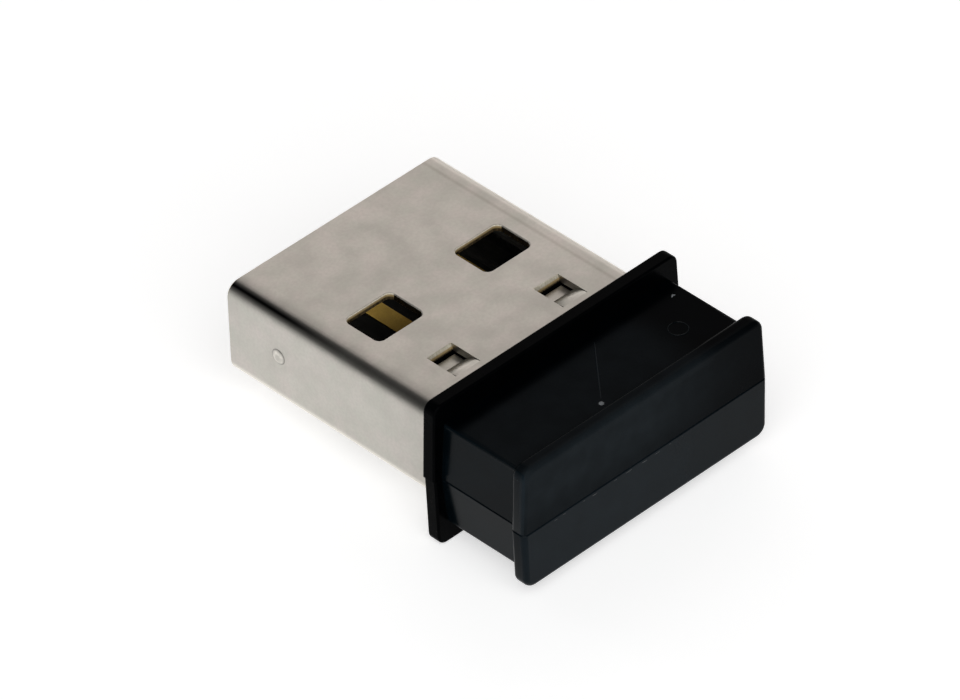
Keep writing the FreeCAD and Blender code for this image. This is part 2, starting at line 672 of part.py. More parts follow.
def build_cover(label, half):
    """Upper or lower half of the grip: flange, waist and end plate, hollow inside."""
    body = new_body(label)
    which = "upper" if half == UPPER else "lower"
    waist_back = "-flange_thickness - waist_length"
    fronts = {"flange": "0", "waist": "-flange_thickness", "plate": waist_back}
    lengths = {"flange": "flange_thickness", "waist": "waist_length", "plate": "plate_thickness"}
    for block in ("plate", "waist", "flange"):
        section = sketch_across(body, f"{which}_{block}", fronts[block])
        wide = f"{block}_{which}_width / 2"
        narrow = f"({wide} - {block}_{which}_draft)"
        top = f"{half} * {block}_height / 2"
        corners = [
            (f"-{wide}", "parting_level"),
            (wide, "parting_level"),
            (narrow, top),
            (f"-{narrow}", top),
        ]
        draw_outline(section, corners)
        pad(body, section, lengths[block])

    def at_top(edge, block):
        """Long upper corner of that block."""
        return runs_along(edge, "Y") and lies_in(edge, "Z", half * value(f"{block}_height / 2"))

    for block in ("waist", "flange", "plate"):
        dress(body, "Fillet", f"{block}_corner", lambda edge: at_top(edge, block))

    waist_side = value("waist_upper_width / 2")
    waist_top = value("waist_height / 2")
    parting = value("parting_level")

    def on_rim(edge, level):
        """Outer rim at that place along the plug, without the parting line or the waist."""
        middle = edge.CenterOfMass
        outside = abs(middle.x) > waist_side or abs(middle.z) > waist_top + TOLERANCE
        return lies_in(edge, "Y", value(level)) and outside and not lies_in(edge, "Z", parting)

    rims = {
        "flange": ("0", "-flange_thickness"),
        "plate": (waist_back, f"{waist_back} - plate_thickness"),
    }
    for block, levels in rims.items():
        dress(body, "Fillet", f"{block}_round", lambda edge: any(on_rim(edge, level) for level in levels))
    dress(body, "Chamfer", "parting_bevel", lambda edge: lies_in(edge, "Z", parting))

    seat = sketch_across(body, f"{which}_seat", "0")
    seat_width = "(plug_width / 2 + seat_gap)"
    seat_height = "(plug_height / 2 + seat_gap)"
    seat_radius = "(plug_bend + seat_gap)"
    draw_rounded_box(seat, f"-{seat_width}", seat_width, f"-{seat_height}", seat_height, seat_radius)
    pocket(body, seat, "seat_floor")

    cavity = sketch_across(body, f"{which}_cavity", "0")
    draw_box(cavity, "-cavity_width / 2", "cavity_width / 2", "-cavity_height / 2", "cavity_height / 2")
    pocket(body, cavity, "cavity_depth")

    rebate = sketch_across(body, f"{which}_board_rebate", "0")
    draw_box(rebate, "-bay_width / 2", "bay_width / 2", "-board_thickness", "board_gap")
    pocket(body, rebate, "cavity_depth")

    legs = sketch_across(body, f"{which}_leg_slots", "0")
    for side in SIDES:
        inner = f"{side} * (bay_width / 2 - leg_gap)"
        outer = f"{side} * (plug_width / 2 + leg_gap)"
        draw_box(legs, inner, outer, "-leg_below - leg_gap", "leg_above + leg_gap")
    pocket(body, legs, "plug_seat + leg_length + leg_gap")

    pegs = sketch_flat(body, f"{which}_pegs", "parting_level")
    diameter = "peg_diameter + 2 * peg_gap" if half == UPPER else "peg_diameter"
    for side in SIDES:
        draw_circle(pegs, f"{side} * peg_across", "-peg_behind", diameter)
    if half == LOWER:
        pad(body, pegs, "peg_height")
        return body
    pocket(body, pegs, "peg_height + peg_gap")

    bay = sketch_across(body, "solder_bay", "0")
    draw_box(bay, "-bay_width / 2", "bay_width / 2", "0", "cavity_height / 2")
    pocket(body, bay, "bay_depth")
    return body


# ---------------------------------------------------------------- assembly

sub_parts = [
    build_plug_shell(),
    build_contact_carrier(),
    build_circuit_board(),
    *build_contacts(),
    build_wifi_chip(),
    build_crystal(),
    build_small_capacitors(),
    build_resistors(),
    build_power_inductor(),
    build_bulk_capacitor(),
    build_esd_protector(),
    *build_radio_parts(),
    build_solder_joints(),
    build_cover("upper_cover", UPPER),
    build_cover("lower_cover", LOWER),
]
doc.recompute()

for item in doc.Objects:
    if {"Invalid", "Error"} & set(item.State):
        raise ValueError(f"{item.Name} did not build: {item.State}")

os.makedirs("parts", exist_ok=True)
for sub_part in sub_parts:
    if sub_part.Shape.isNull() or not sub_part.Shape.isValid():
        raise ValueError(f"{sub_part.Label} has no valid shape")
    sub_part.Shape.exportStep(f"parts/{sub_part.Label}.step")
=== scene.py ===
"""The finished look of a small USB wireless adapter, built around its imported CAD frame.

Lengths are in metres. Each piece starts from its CAD node's surface, so sizes and places follow the frame.
The plug points along +Y, the grip lies behind it towards -Y, and +Z is the side of the plug's open gap.
"""
import json
import math

import bmesh
import bpy
from mathutils import Matrix, Vector, noise


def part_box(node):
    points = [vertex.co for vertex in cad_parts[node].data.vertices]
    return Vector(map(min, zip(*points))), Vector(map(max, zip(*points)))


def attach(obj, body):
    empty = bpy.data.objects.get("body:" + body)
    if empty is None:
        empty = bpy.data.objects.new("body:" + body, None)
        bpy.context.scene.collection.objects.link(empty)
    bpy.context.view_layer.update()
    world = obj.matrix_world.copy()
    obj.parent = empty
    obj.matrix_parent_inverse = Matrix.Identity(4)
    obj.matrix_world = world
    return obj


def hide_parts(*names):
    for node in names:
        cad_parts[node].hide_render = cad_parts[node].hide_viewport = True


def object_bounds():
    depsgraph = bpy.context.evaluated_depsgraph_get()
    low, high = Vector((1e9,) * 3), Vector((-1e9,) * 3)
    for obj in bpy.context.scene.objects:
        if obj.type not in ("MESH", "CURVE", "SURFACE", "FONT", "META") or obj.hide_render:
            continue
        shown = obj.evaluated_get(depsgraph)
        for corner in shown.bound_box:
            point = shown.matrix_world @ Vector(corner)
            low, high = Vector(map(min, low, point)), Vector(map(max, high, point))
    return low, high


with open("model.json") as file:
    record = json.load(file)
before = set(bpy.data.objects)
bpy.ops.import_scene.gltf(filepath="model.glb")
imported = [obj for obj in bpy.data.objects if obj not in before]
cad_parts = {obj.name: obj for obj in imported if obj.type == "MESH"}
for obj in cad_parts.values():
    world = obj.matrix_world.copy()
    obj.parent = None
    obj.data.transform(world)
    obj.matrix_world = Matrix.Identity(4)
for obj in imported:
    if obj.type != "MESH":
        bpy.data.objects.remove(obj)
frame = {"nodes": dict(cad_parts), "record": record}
CAD_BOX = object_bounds()
MM = 0.001
X, Y, Z = 0, 1, 2
TINY = 0.01 * MM


# ---------------------------------------------------------------- places taken from the frame

SQUARE_ON = 0.999  # a face looks along an axis when its normal's share there is at least this


def flat_levels(node, axis, sign, at_least=1.0 * MM * MM):
    """Where a node has sizeable flat faces that look along one way of an axis, from low to high."""
    mesh = frame["nodes"][node].data
    areas = {}
    for face in mesh.polygons:
        if sign * face.normal[axis] > SQUARE_ON:
            level = round(face.center[axis], 5)
            areas[level] = areas.get(level, 0.0) + face.area
    return sorted(level for level, area in areas.items() if area > at_least)


def flat_top_reach():
    """How far the flat outside of the shell's top reaches from the plug's axis."""
    mesh = frame["nodes"]["plug_shell"].data
    top = [face for face in mesh.polygons
           if face.normal.z > SQUARE_ON and abs(face.center.z - SHELL_TOP) < TINY]
    return max(mesh.vertices[index].co.x for face in top for index in face.vertices)


def tab_ramp():
    """The low and high corners of the tabs' sloping ramps, folded onto the +X, +Z quarter."""
    mesh = frame["nodes"]["plug_shell"].data
    ramps = [face for face in mesh.polygons
             if 0.3 < face.normal.y < 0.6 and abs(face.normal.z) > 0.8 and abs(face.center.x) < FLAT_REACH]
    corners = [mesh.vertices[index].co for face in ramps for index in face.vertices]
    folded = [(abs(corner.x), corner.y, abs(corner.z)) for corner in corners]
    return tuple(map(min, *folded)), tuple(map(max, *folded))


SHELL_SIDE = flat_levels("plug_shell", X, 1)[-1]
SHELL_TOP = flat_levels("plug_shell", Z, 1)[-1]
FLAT_REACH = flat_top_reach()
BUMP_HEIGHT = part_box("plug_shell")[1][X] - SHELL_SIDE
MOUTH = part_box("plug_shell")[1][Y]
SHEET_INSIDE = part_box("contact_carrier")[1][Z]
TAB_WALL, WINDOW_WALL = flat_levels("plug_shell", Y, -1)[-2:]
RAMP_LOW, RAMP_HIGH = tab_ramp()
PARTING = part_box("upper_cover")[0][Z]
FLANGE_BACK = flat_levels("lower_cover", Y, -1)[-1]
PLATE_FRONT = flat_levels("lower_cover", Y, 1)[0]
PLATE_BACK = CAD_BOX[0][Y]
WAIST_TOP = flat_levels("upper_cover", Z, 1, at_least=20.0 * MM * MM)[-1]


# ---------------------------------------------------------------- materials

class Finish:
    """One node material, built up from noise, colour blends and bump."""

    def __init__(self, name, color, metallic=0.0, roughness=0.5, specular=0.5):
        self.material = bpy.data.materials.new(name)
        self.material.use_nodes = True
        self.nodes = self.material.node_tree.nodes
        self.links = self.material.node_tree.links
        self.shader = self.nodes["Principled BSDF"]
        self.shader.inputs["Base Color"].default_value = (*color, 1.0)
        self.shader.inputs["Metallic"].default_value = metallic
        self.shader.inputs["Roughness"].default_value = roughness
        self.shader.inputs["Specular IOR Level"].default_value = specular
        self.place = self.nodes.new("ShaderNodeTexCoord").outputs["Object"]

    def grain(self, size, detail=2.0, stretch=(1.0, 1.0, 1.0)):
        """Noise with blotches about `size` across, drawn out along an axis by `stretch`."""
        mapping = self.nodes.new("ShaderNodeMapping")
        mapping.inputs["Scale"].default_value = tuple(1.0 / (size * s) for s in stretch)
        self.links.new(self.place, mapping.inputs["Vector"])
        texture = self.nodes.new("ShaderNodeTexNoise")
        texture.inputs["Scale"].default_value = 1.0
        texture.inputs["Detail"].default_value = detail
        self.links.new(mapping.outputs["Vector"], texture.inputs["Vector"])
        return texture.outputs["Fac"]

    def ramp(self, value, start, end, low=0.0, high=1.0):
        """`low` where the value is `start`, `high` where it is `end`, and a smooth step between."""
        span = self.nodes.new("ShaderNodeMapRange")
        span.interpolation_type = "SMOOTHSTEP"
        span.inputs["From Min"].default_value = start
        span.inputs["From Max"].default_value = end
        span.inputs["To Min"].default_value = low
        span.inputs["To Max"].default_value = high
        self.links.new(value, span.inputs["Value"])
        return span.outputs["Result"]

    def spread(self, factor, low, high):
        """The middle of a noise's range stretched to run from `low` to `high`."""
        return self.ramp(factor, 0.3, 0.7, low, high)

    def along(self, axis):
        """The distance along one axis of the frame, in metres."""
        split = self.nodes.new("ShaderNodeSeparateXYZ")
        self.links.new(self.place, split.inputs["Vector"])
        return split.outputs[axis]

    def unsigned(self, value):
        """The value without its sign."""
        absolute = self.nodes.new("ShaderNodeMath")
        absolute.operation = "ABSOLUTE"
        self.links.new(value, absolute.inputs[0])
        return absolute.outputs["Value"]

    def times(self, first, second):
        """Two steps' outputs multiplied."""
        product = self.nodes.new("ShaderNodeMath")
        product.operation = "MULTIPLY"
        self.links.new(first, product.inputs[0])
        self.links.new(second, product.inputs[1])
        return product.outputs["Value"]

    def stripe(self, value, start, end, before, after, strength=1.0):
        """`strength` from `start` to `end`, fading out over `before` below them and over `after` above."""
        rise = self.ramp(value, start - before, start)
        fall = self.ramp(value, end + after, end, 0.0, strength)
        return self.times(rise, fall)

    def mixed(self, factor, first, second):
        """A colour between two others; each is a colour or another step's output."""
        mix = self.nodes.new("ShaderNodeMix")
        mix.data_type = "RGBA"
        self.links.new(factor, mix.inputs["Factor"])
        for index, value in ((6, first), (7, second)):
            if isinstance(value, tuple):
                mix.inputs[index].default_value = (*value, 1.0)
            else:
                self.links.new(value, mix.inputs[index])
        return mix.outputs[2]

    def bumped(self, height, depth, base=None):
        """A surface normal tilted by `height`, whose full range stands `depth` tall."""
        bump = self.nodes.new("ShaderNodeBump")
        bump.inputs["Distance"].default_value = depth
        self.links.new(height, bump.inputs["Height"])
        if base is not None:
            self.links.new(base, bump.inputs["Normal"])
        return bump.outputs["Normal"]

    def feed(self, socket, value):
        """A step's output drives one of the shader's sockets."""
        self.links.new(value, self.shader.inputs[socket])


def shaded(color, factor):
    """The colour made darker or lighter."""
    return tuple(factor * channel for channel in color)


# painted highlight, for the folds and the bumps' tops
PAINTED_HIGHLIGHT = (0.84, 0.8, 0.73)
# painted shade along the top's -X fold
SHADE = (0.01, 0.01, 0.01)
# black painted dark reflection along the top's -X fold
PAINTED_DARK_REFLECTION = (0.001, 0.001, 0.0015)
BROWN = (0.12, 0.09, 0.06)


def near_the_top(finish):
    """1 on the shell's top and its folds, 0 on the sides and below."""
    return finish.ramp(finish.along(Z), SHELL_TOP - 0.75 * MM, SHELL_TOP - 0.35 * MM)


def paint_highlights_on_folds(finish, tone):
    """The folds under the plug and the top one on its +X side get a painted highlight."""
    across, up = finish.along(X), finish.along(Z)
    fold_start, fold_middle = FLAT_REACH, SHELL_SIDE - 0.3 * MM
    at_folds = finish.ramp(finish.unsigned(across), fold_start, fold_middle)
    near_bottom = finish.ramp(up, -SHELL_TOP + 0.7 * MM, -SHELL_TOP + 0.3 * MM)
    tone = finish.mixed(finish.times(at_folds, near_bottom), tone, PAINTED_HIGHLIGHT)
    at_far_fold = finish.ramp(across, fold_start, fold_middle)
    return finish.mixed(finish.times(at_far_fold, near_the_top(finish)), tone, PAINTED_HIGHLIGHT)


def paint_shade_and_highlight_on_bumps(finish, tone, color):
    """Each side bump has painted shade round its foot and a patchy painted highlight ring near its top."""
    sideways = finish.unsigned(finish.along(X))
    foot = SHELL_SIDE + TINY
    # painted shade round the bump's foot
    painted_shade_ring = finish.stripe(sideways, foot, foot, 0.008 * MM, 0.03 * MM, 0.75)
    tone = finish.mixed(painted_shade_ring, tone, shaded(color, 0.3))
    # painted highlight ring near the bump's top
    painted_highlight_ring = finish.stripe(sideways, foot + 0.045 * MM, foot + 0.06 * MM, 0.025 * MM, 0.03 * MM)
    patchy = finish.spread(finish.grain(0.3 * MM), 0.1, 0.75)
    return finish.mixed(finish.times(painted_highlight_ring, patchy), tone, PAINTED_HIGHLIGHT)


def darken_the_top_folds(finish, tone):
    """A painted shade with a black painted dark reflection runs along the top's -X fold, and a faint brown
    line by its +X one.
    """
    across, ahead = finish.along(X), finish.along(Y)
    near_top = near_the_top(finish)
    shade_line = -SHELL_SIDE + 0.31 * MM
    shade = finish.stripe(across, shade_line, shade_line, 0.35 * MM, 0.9 * MM, 0.45)
    tone = finish.mixed(finish.times(shade, near_top), tone, SHADE)
    # painted dark reflection, stronger towards the mouth
    dark_reflection = finish.stripe(across, shade_line, shade_line, 0.18 * MM, 0.24 * MM)
    toward_mouth = finish.ramp(ahead, 5.0 * MM, 9.5 * MM, 0.45, 1.0)
    tone = finish.mixed(finish.times(finish.times(dark_reflection, toward_mouth), near_top), tone, PAINTED_DARK_REFLECTION)
    lined = FLAT_REACH - 0.33 * MM
    line = finish.stripe(across, lined, lined, 0.15 * MM, 0.15 * MM, 0.2)
    return finish.mixed(finish.times(line, near_top), tone, BROWN)


def plated_shell(name):
    """Nickel-plated sheet: clouds in tone and gloss, a fine speckle, painted shade towards the grip,
    painted highlights on folds and bumps, painted shade and a painted dark reflection on the top's -X fold.
    """
    color = (0.52, 0.495, 0.455)
    yellowish, pinkish, greenish = (0.485, 0.465, 0.425), (0.55, 0.51, 0.475), (0.50, 0.51, 0.45)
    roughness = 0.34
    finish = Finish(name, color, metallic=1.0, roughness=roughness)
    clouds = finish.grain(1.3 * MM, detail=3.0)
    haze = finish.grain(0.7 * MM, detail=3.0)
    speckle = finish.grain(0.13 * MM, detail=3.0)
    tone = finish.mixed(finish.spread(clouds, 0.0, 1.0), yellowish, pinkish)
    tone = finish.mixed(finish.spread(haze, 0.0, 0.45), tone, greenish)
    tone = finish.mixed(finish.spread(speckle, 0.0, 0.35), tone, shaded(color, 0.82))
    # painted shade: the sheet darkens towards the grip's flange
    shaded_toward_grip = finish.ramp(finish.along(Y), 4.0 * MM, 0.0, 0.0, 0.22)
    tone = finish.mixed(shaded_toward_grip, tone, shaded(color, 0.5))
    tone = paint_highlights_on_folds(finish, tone)
    tone = paint_shade_and_highlight_on_bumps(finish, tone, color)
    tone = darken_the_top_folds(finish, tone)
    finish.feed("Base Color", tone)
    finish.feed("Roughness", finish.spread(clouds, roughness + 0.03, roughness - 0.03))
    wave = finish.bumped(finish.grain(2.2 * MM, detail=1.0), 0.004 * MM)
    finish.feed("Normal", finish.bumped(speckle, 0.0008 * MM, wave))
    return finish.material


def bright_metal(name, color, roughness, cloud=1.1 * MM):
    """Clean plated or soldered metal with clouds in tone and gloss and a fine speckle."""
    finish = Finish(name, color, metallic=1.0, roughness=roughness)
    clouds = finish.grain(cloud, detail=4.0)
    speckle = finish.grain(0.1 * MM, detail=3.0)
    tone = finish.mixed(finish.spread(clouds, 0.0, 1.0), shaded(color, 0.85), shaded(color, 1.06))
    finish.feed("Base Color", finish.mixed(finish.spread(speckle, 0.0, 0.6), tone, shaded(color, 0.8)))
    finish.feed("Roughness", finish.spread(clouds, roughness + 0.04, roughness - 0.04))
    finish.feed("Normal", finish.bumped(speckle, 0.0008 * MM))
    return finish.material


def sheared_edge(name):
    """Bare cut edge of the sheet: warm, half burnished and half torn, streaked through its thickness."""
    color = (0.86, 0.79, 0.60)
    finish = Finish(name, color, metallic=0.1, roughness=0.45)
    streaks = finish.grain(0.08 * MM, detail=3.0, stretch=(1.0, 1.0, 5.0))
    clouds = finish.grain(0.6 * MM, detail=2.0)
    tone = finish.mixed(finish.spread(streaks, 0.0, 1.0), shaded(color, 0.8), shaded(color, 1.1))
    finish.feed("Base Color", finish.mixed(finish.spread(clouds, 0.0, 0.4), tone, (0.62, 0.5, 0.3)))
    finish.feed("Roughness", finish.spread(streaks, 0.34, 0.5))
    finish.feed("Normal", finish.bumped(streaks, 0.004 * MM))
    return finish.material


def punched_edge(name, light_depth):
    """Cut edge of an opening: burnished outside for `light_depth` with a painted highlight, tan below, then
    black as painted shadow deeper in.
    """
    light, tan, painted_shadow = (0.84, 0.79, 0.66), (0.52, 0.38, 0.18), (0.012, 0.007, 0.004)
    finish = Finish(name, tan, metallic=0.1, roughness=0.4)
    streaks = finish.grain(0.08 * MM, detail=3.0, stretch=(1.0, 1.0, 5.0))
    height = finish.unsigned(finish.along(Z))
    light_end = SHELL_TOP - light_depth
    # the light band at the top is real burnish with a painted highlight; below it painted shadow fills the
    # opening's depth
    burnished = finish.ramp(height, light_end - 0.03 * MM, light_end + 0.03 * MM)
    out_of_painted_shadow = finish.ramp(height, light_end - 0.14 * MM, light_end - 0.05 * MM)
    tone = finish.mixed(out_of_painted_shadow, painted_shadow, finish.mixed(burnished, tan, light))
    finish.feed("Base Color", finish.mixed(finish.spread(streaks, 0.0, 0.35), tone, shaded(tan, 0.6)))
    finish.feed("Roughness", finish.spread(streaks, 0.3, 0.5))
    finish.feed("Normal", finish.bumped(streaks, 0.003 * MM))
    return finish.material


def painted_shade_edge(name, color):
    """Cut edge darkened all the way as painted shade, where it would mirror the dark inside."""
    finish = Finish(name, color, metallic=0.7, roughness=0.3)
    streaks = finish.grain(0.1 * MM, detail=3.0, stretch=(1.0, 1.0, 5.0))
    tone = finish.mixed(finish.spread(streaks, 0.0, 1.0), shaded(color, 0.7), shaded(color, 1.4))
    finish.feed("Base Color", tone)
    finish.feed("Roughness", finish.spread(streaks, 0.25, 0.4))
    finish.feed("Normal", finish.bumped(streaks, 0.003 * MM))
    return finish.material


def matte_body(name, color, roughness, specular=0.3, grain=0.06 * MM, depth=0.001 * MM, contrast=0.2):
    """Ceramic, epoxy or moulded plastic: patches of tone and gloss over a fine pebbled grain."""
    finish = Finish(name, color, roughness=roughness, specular=specular)
    patches = finish.grain(14 * grain, detail=3.0)
    pebbles = finish.grain(grain, detail=2.0)
    dark, light, pit = (shaded(color, factor) for factor in (1 - contrast, 1 + contrast, 1 - 2 * contrast))
    tone = finish.mixed(finish.spread(patches, 0.0, 1.0), dark, light)
    finish.feed("Base Color", finish.mixed(finish.spread(pebbles, 0.0, 0.5), tone, pit))
    finish.feed("Roughness", finish.spread(patches, roughness - 0.05, roughness + 0.05))
    finish.feed("Normal", finish.bumped(pebbles, depth))
    return finish.material


def solder_mask(name):
    """Black solder mask: glossy lacquer with the faint lines of the copper tracks under it."""
    color = (0.001, 0.0012, 0.0011)
    finish = Finish(name, color, roughness=0.2, specular=0.05)
    tracks = finish.grain(0.3 * MM, detail=0.0, stretch=(1.0, 8.0, 1.0))
    lacquer = finish.grain(0.5 * MM, detail=2.0)
    finish.feed("Base Color", finish.mixed(finish.ramp(tracks, 0.48, 0.52), color, shaded(color, 2.0)))
    finish.feed("Roughness", finish.spread(lacquer, 0.16, 0.24))
    finish.feed("Normal", finish.bumped(finish.ramp(tracks, 0.45, 0.55), 0.004 * MM))
    return finish.material


def grip_plastic(name, color, specular, dust_and_sheen_color):
    """Black moulded plastic: spark-eroded grain, rubbed patches, and a dusty layer on the end plate and
    waist top, whose brightness and extent are partly painted reflection.
    """
    finish = Finish(name, color, roughness=0.2, specular=specular)
    patches = finish.grain(1.4 * MM, detail=3.0)
    pebbles = finish.grain(0.07 * MM, detail=2.0)
    streaked = finish.spread(finish.grain(0.9 * MM, detail=4.0), 0.75, 1.0)
    tone = finish.mixed(finish.spread(patches, 0.0, 1.0), color, shaded(color, 1.5))
    across, ahead, up = (finish.along(axis) for axis in (X, Y, Z))
    # on the waist top the dusty layer doubles as a painted reflection of the backdrop: it stops short of
    # the flange, whose dark painted reflection lies there, and fades towards the right end
    outside_flange_reflection = finish.ramp(ahead, FLANGE_BACK - 0.4 * MM, FLANGE_BACK - 1.2 * MM)
    on_waist_top = finish.ramp(up, WAIST_TOP - 0.1 * MM, WAIST_TOP - 0.02 * MM)
    clear_of_right_end = finish.ramp(across, 4.4 * MM, 2.4 * MM, 0.0, 0.42)
    dust_and_sheen = finish.times(finish.times(outside_flange_reflection, on_waist_top), clear_of_right_end)
    tone = finish.mixed(finish.times(dust_and_sheen, streaked), tone, dust_and_sheen_color)
    # on the end plate the layer doubles as a painted reflection of the floor, stronger to the left and
    # higher up
    on_plate = finish.ramp(ahead, PLATE_BACK + 0.4 * MM, PLATE_BACK + 0.1 * MM)
    toward_left = finish.ramp(across, 6.5 * MM, -1.0 * MM, 0.1, 1.0)
    above_parting = finish.ramp(up, PARTING, PARTING + 1.6 * MM, 0.55, 1.0)
    dust_and_sheen = finish.times(finish.times(on_plate, toward_left), above_parting)
    finish.feed("Base Color", finish.mixed(finish.times(dust_and_sheen, streaked), tone, dust_and_sheen_color))
    finish.feed("Roughness", finish.spread(patches, 0.17, 0.23))
    finish.feed("Normal", finish.bumped(pebbles, 0.0004 * MM))
    return finish.material


SLOT_FINISHES = {
    "shell_steel": plated_shell("plated_steel"),
    "contact_gold": bright_metal("gold_plating", (0.50, 0.33, 0.075), 0.16),
    "cover_plastic": grip_plastic("glossy_black", (0.0003, 0.0006, 0.0009), specular=0.012,
                                  dust_and_sheen_color=(0.0107, 0.0141, 0.0167)),
    "carrier_plastic": matte_body("carrier_black", (0.0008, 0.0008, 0.0009), 0.4, specular=0.03),
    "board_mask": solder_mask("solder_mask"),
    "chip_epoxy": matte_body("chip_epoxy", (0.018, 0.018, 0.019), 0.55),
    "can_metal": bright_metal("crystal_lid", (0.66, 0.64, 0.6), 0.3),
    "ceramic": matte_body("capacitor_ceramic", (0.32, 0.2, 0.11), 0.5),
    "resistor_film": matte_body("resistor_film", (0.02, 0.022, 0.028), 0.3, specular=0.45),
    "ferrite": matte_body("ferrite", (0.05, 0.05, 0.055), 0.65),
    "antenna_ceramic": matte_body("antenna_ceramic", (0.68, 0.66, 0.6), 0.5, contrast=0.08),
    "solder": bright_metal("solder_tin", (0.6, 0.6, 0.58), 0.28, cloud=0.4 * MM),
}
SHEARED_EDGE = sheared_edge("sheared_edge")
TAB_EDGE = punched_edge("tab_edge", light_depth=0.17 * MM)
WINDOW_EDGE = punched_edge("window_edge", light_depth=0.05 * MM)
# painted shade on window walls that face away from the grip
DARK_EDGE = painted_shade_edge("dark_edge", (0.012, 0.009, 0.006))
# painted highlight: a light grey for the gate's nib and the burr, where tiny glints lie
NIB_PAINTED_HIGHLIGHT = matte_body("nib_grey_painted_highlight", (0.16, 0.17, 0.18), 0.5)
# painted shade: a blacker copy of the grip's plastic for the flange, which lies in shade
FLANGE_PAINTED_SHADE = matte_body("flange_black_painted_shade", (0.0006, 0.0008, 0.001), 0.25, specular=0.012, depth=0.0004 * MM)
# a lighter copy of the grip's plastic, painted light for the faces that catch the floor's reflection
GRIP_PAINTED_LIGHTER = grip_plastic("glossy_black_painted_lighter", (0.0008, 0.0022, 0.0032), specular=0.055,
                             dust_and_sheen_color=(0.0074, 0.0122, 0.0163))
FLASH_GREY = matte_body("torn_flash", (0.045, 0.048, 0.05), 0.6, specular=0.3)


# ---------------------------------------------------------------- pieces

SHARP_EDGE = math.radians(35)  # an edge turning more than this is rolled over
SMOOTH_BELOW = math.radians(40)  # and one turning less than this is shaded smooth
FLAT_WITHIN = 0.002  # radians between faces that count as one flat face
WELD_IN_MM = 1e-4  # points closer than this, in millimetres, become one
SOFT_ROLL, SOFT_SEGMENTS = 0.05 * MM, 4
ROLL_SEGMENTS = 2
OUTSIDE_ROLL = 0.03 * MM
INSIDE_ROLL = 0.015 * MM
WIDE_FLAT_FACE = (1.5 * MM) ** 2  # a face with more area is never shaded smooth
OFF_AXIS = Vector((0.3, 0.5, 0.8))  # no bead runs along this way


def turns(count):
    """Angles evenly round a full circle."""
    return [2 * math.pi * step / count for step in range(count)]


def add_bead(surface, centres, radii, finish_index, closed=False, sides=8):
    """A tube of changing thickness through the centres, with shut ends, added to the surface.

    A `closed` bead has no ends: it runs round from its last centre to its first.
    """
    rings = []
    count = len(centres)
    for index, (centre, radius) in enumerate(zip(centres, radii)):
        before = centres[index - 1] if index or closed else centres[index]
        after = centres[(index + 1) % count] if index + 1 < count or closed else centres[index]
        ahead = (after - before).normalized()
        side = ahead.cross(OFF_AXIS).normalized()
        up = side.cross(ahead)
        spokes = [math.cos(turn) * side + math.sin(turn) * up for turn in turns(sides)]
        rings.append([surface.verts.new(centre + radius * spoke) for spoke in spokes])
    faces = []
    for index in range(count if closed else count - 1):
        ring, following = rings[index], rings[(index + 1) % count]
        for step in range(sides):
            onward = (step + 1) % sides
            faces.append(surface.faces.new((ring[step], ring[onward], following[onward], following[step])))
    if not closed:
        faces.append(surface.faces.new(rings[0][::-1]))
        faces.append(surface.faces.new(rings[-1]))
    for face in faces:
        face.material_index = finish_index
    bmesh.ops.recalc_face_normals(surface, faces=faces)


def roll_over(surface, edges, roll, segments, clamp=True):
    """Round the edges off; the surface is in millimetres here, because tiny bevels need the precision."""
    bmesh.ops.bevel(surface, geom=edges, offset=roll / MM, segments=segments, profile=0.5, affect="EDGES",
                    clamp_overlap=clamp)


def sharp_edges(surface, accept=None):
    """The edges where two faces meet sharply, or those of them that `accept` says yes to."""
    return [edge for edge in surface.edges if len(edge.link_faces) == 2
            and edge.calc_face_angle() > SHARP_EDGE and (accept is None or accept(edge))]


def refined(node, name, slot, roll, soft_rims=(), choose_finish=None, extras=(), add_details=None):
    """A new piece on the node's surface, with its sharp edges rolled over by `roll`.

    The edges that each test in `soft_rims` accepts are rolled over further. `choose_finish` takes a face's
    centre and normal and gives the number of its finish: 0 for the slot's own, 1 and up for the `extras`.
    `add_details` works on the rolled surface.
    """
    surface = bmesh.new()
    surface.from_mesh(frame["nodes"][node].data)
    bmesh.ops.scale(surface, vec=Vector((1 / MM, 1 / MM, 1 / MM)), verts=surface.verts)
    bmesh.ops.remove_doubles(surface, verts=surface.verts, dist=WELD_IN_MM)
    bmesh.ops.dissolve_limit(surface, angle_limit=FLAT_WITHIN, verts=surface.verts, edges=surface.edges)
    for is_soft in soft_rims:
        roll_over(surface, sharp_edges(surface, is_soft), SOFT_ROLL, SOFT_SEGMENTS, clamp=False)
    roll_over(surface, sharp_edges(surface), roll, ROLL_SEGMENTS)
    bmesh.ops.scale(surface, vec=Vector((MM, MM, MM)), verts=surface.verts)
    surface.normal_update()
    if choose_finish is not None:
        for face in surface.faces:
            face.material_index = choose_finish(face.calc_center_median(), face.normal)
    if add_details is not None:
        add_details(surface)
    mesh = bpy.data.meshes.new(name)
    for finish in (SLOT_FINISHES[slot], *extras):
        mesh.materials.append(finish)
    surface.to_mesh(mesh)
    surface.free()
    piece = bpy.data.objects.new(name, mesh)
    bpy.context.scene.collection.objects.link(piece)
    mesh.shade_smooth()
    mesh.set_sharp_from_angle(angle=SMOOTH_BELOW)
    for face in mesh.polygons:
        is_square_on = max(abs(part) for part in face.normal) > 0.9999
        face.use_smooth = face.area < WIDE_FLAT_FACE and not is_square_on
    weighted = piece.modifiers.new("flat_faces", "WEIGHTED_NORMAL")
    weighted.keep_sharp = True
    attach(piece, "root")
    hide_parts(node)
    return piece


# ---------------------------------------------------------------- the plug's shell

